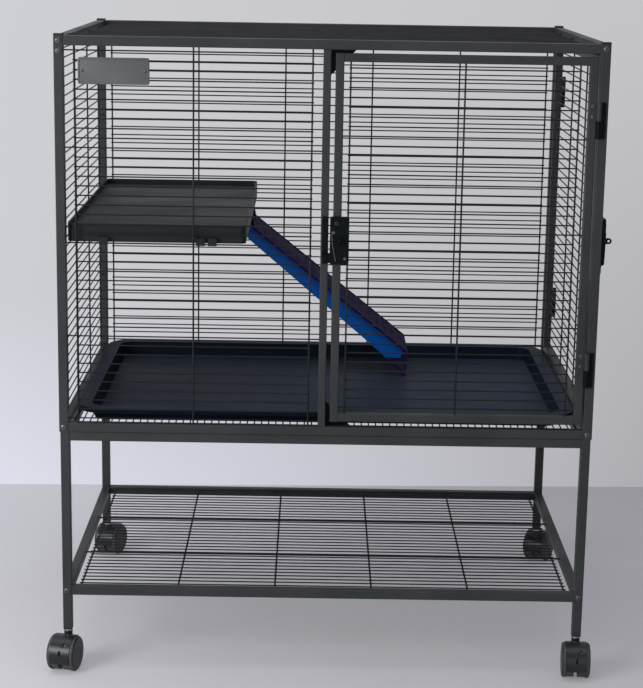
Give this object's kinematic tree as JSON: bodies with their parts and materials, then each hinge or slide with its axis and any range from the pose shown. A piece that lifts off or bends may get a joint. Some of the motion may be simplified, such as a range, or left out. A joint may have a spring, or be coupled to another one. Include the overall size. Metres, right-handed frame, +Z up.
{
  "type": "small pet cage on wheeled stand",
  "caption": "Wire pet cage with tube frame on a wheeled stand: hinged front and side doors with turn latches, raised platform, ramp, floor tray and wire storage shelf on hooded casters.",
  "frame": {"origin": "on the floor under the centre of the stand, between the four casters", "axes": "+X to the cage's right as seen from its front door, -Y out of the front door side, +Z up"},
  "size_m": [0.9717, 0.6979, 1.104],
  "materials": {
    "powder_coat": "satin charcoal powder coat",
    "wire": "satin black coat",
    "bolt": "black",
    "black_metal": "satin black",
    "black_plastic": "fine grain",
    "caster_plastic": "moulded, semi gloss",
    "platform_plastic": "fine grain",
    "tray_plastic": "glossy",
    "ramp_plastic": "fine grain",
    "ramp_side_plastic": "smooth",
    "steel": "zinc plated"
  },
  "bodies": {
    "cage": {"leg_front_left": "powder_coat", "leg_front_right": "powder_coat", "leg_back_left": "powder_coat", "leg_back_right": "powder_coat", "stand_top_rails": "powder_coat", "shelf_rails": "powder_coat", "shelf_grille": "wire", "stand_bolts": "bolt", "post_front_left": "powder_coat", "post_front_right": "powder_coat", "post_back_left": "powder_coat", "post_back_right": "powder_coat", "base_rails": "powder_coat", "top_rails": "powder_coat", "centre_post": "powder_coat", "front_wires": "wire", "back_wires": "wire", "left_wires": "wire", "roof_wires": "wire", "floor_grille": "wire", "post_caps": "black_plastic", "door_stops": "black_metal", "frame_bolts": "bolt", "platform": "platform_plastic", "tray": "tray_plastic", "tray_rim": "tray_plastic", "fixed_hinge_leaves": "black_metal", "latch_keepers": "black_metal", "caster_sockets": "black_plastic"},
    "caster_front_left": {"hood_front_left": "caster_plastic", "pins_front_left": "steel"},
    "wheel_front_left_a": {"wheel_front_left_a": "caster_plastic"},
    "wheel_front_left_b": {"wheel_front_left_b": "caster_plastic"},
    "caster_front_right": {"hood_front_right": "caster_plastic", "pins_front_right": "steel"},
    "wheel_front_right_a": {"wheel_front_right_a": "caster_plastic"},
    "wheel_front_right_b": {"wheel_front_right_b": "caster_plastic"},
    "caster_back_left": {"hood_back_left": "caster_plastic", "pins_back_left": "steel"},
    "wheel_back_left_a": {"wheel_back_left_a": "caster_plastic"},
    "wheel_back_left_b": {"wheel_back_left_b": "caster_plastic"},
    "caster_back_right": {"hood_back_right": "caster_plastic", "pins_back_right": "steel"},
    "wheel_back_right_a": {"wheel_back_right_a": "caster_plastic"},
    "wheel_back_right_b": {"wheel_back_right_b": "caster_plastic"},
    "front_door": {"front_door_frame": "powder_coat", "front_door_wires": "wire", "front_door_leaves": "black_metal", "front_latch_case": "black_metal"},
    "front_latch": {"front_latch_turn": "black_metal"},
    "side_door": {"side_door_frame": "powder_coat", "side_door_wires": "wire", "side_door_leaves": "black_metal", "side_latch_case": "black_metal"},
    "side_latch": {"side_latch_turn": "black_metal"},
    "ramp": {"ramp": "ramp_plastic", "ramp_side_panels": "ramp_side_plastic"}
  },
  "joints": [
    {"name": "swivel_front_left", "type": "hinge", "parent": "cage", "child": "caster_front_left", "pos_m": [-0.4475, -0.2955, 0.072], "axis": [0, 0, 1], "continuous": true},
    {"name": "roll_front_left_a", "type": "hinge", "parent": "caster_front_left", "child": "wheel_front_left_a", "pos_m": [-0.45155, -0.31304, 0.031], "axis": [0.9744, -0.225, 0], "continuous": true},
    {"name": "roll_front_left_b", "type": "hinge", "parent": "caster_front_left", "child": "wheel_front_left_b", "pos_m": [-0.45155, -0.31304, 0.031], "axis": [0.9744, -0.225, 0], "continuous": true},
    {"name": "swivel_front_right", "type": "hinge", "parent": "cage", "child": "caster_front_right", "pos_m": [0.4475, -0.2955, 0.072], "axis": [0, 0, 1], "continuous": true},
    {"name": "roll_front_right_a", "type": "hinge", "parent": "caster_front_right", "child": "wheel_front_right_a", "pos_m": [0.44624, -0.31346, 0.031], "axis": [0.9976, -0.0698, 0], "continuous": true},
    {"name": "roll_front_right_b", "type": "hinge", "parent": "caster_front_right", "child": "wheel_front_right_b", "pos_m": [0.44624, -0.31346, 0.031], "axis": [0.9976, -0.0698, 0], "continuous": true},
    {"name": "swivel_back_left", "type": "hinge", "parent": "cage", "child": "caster_back_left", "pos_m": [-0.4475, 0.2955, 0.072], "axis": [0, 0, 1], "continuous": true},
    {"name": "roll_back_left_a", "type": "hinge", "parent": "caster_back_left", "child": "wheel_back_left_a", "pos_m": [-0.44134, 0.31241, 0.031], "axis": [-0.9397, 0.342, 0], "continuous": true},
    {"name": "roll_back_left_b", "type": "hinge", "parent": "caster_back_left", "child": "wheel_back_left_b", "pos_m": [-0.44134, 0.31241, 0.031], "axis": [-0.9397, 0.342, 0], "continuous": true},
    {"name": "swivel_back_right", "type": "hinge", "parent": "cage", "child": "caster_back_right", "pos_m": [0.4475, 0.2955, 0.072], "axis": [0, 0, 1], "continuous": true},
    {"name": "roll_back_right_a", "type": "hinge", "parent": "caster_back_right", "child": "wheel_back_right_a", "pos_m": [0.45595, 0.31139, 0.031], "axis": [-0.8829, 0.4695, 0], "continuous": true},
    {"name": "roll_back_right_b", "type": "hinge", "parent": "caster_back_right", "child": "wheel_back_right_b", "pos_m": [0.45595, 0.31139, 0.031], "axis": [-0.8829, 0.4695, 0], "continuous": true},
    {"name": "front_door_hinge", "type": "hinge", "parent": "cage", "child": "front_door", "pos_m": [0.441, -0.31, 0.7645], "axis": [0, 0, 1], "range_deg": [0, 150]},
    {"name": "side_door_hinge", "type": "hinge", "parent": "cage", "child": "side_door", "pos_m": [0.462, 0.289, 0.7645], "axis": [0, 0, 1], "range_deg": [0, 150]},
    {"name": "front_latch_pivot", "type": "hinge", "parent": "front_door", "child": "front_latch", "pos_m": [0.0172, -0.31, 0.77], "axis": [0, 1, 0], "range_deg": [-90, 0]},
    {"name": "side_latch_pivot", "type": "hinge", "parent": "side_door", "child": "side_latch", "pos_m": [0.462, -0.2705, 0.77], "axis": [-1, 0, 0], "range_deg": [-90, 0]},
    {"name": "ramp_hinge", "type": "hinge", "parent": "cage", "child": "ramp", "pos_m": [-0.151, 0.167, 0.756], "axis": [0, -1, 0], "range_deg": [0, 34]}
  ]
}
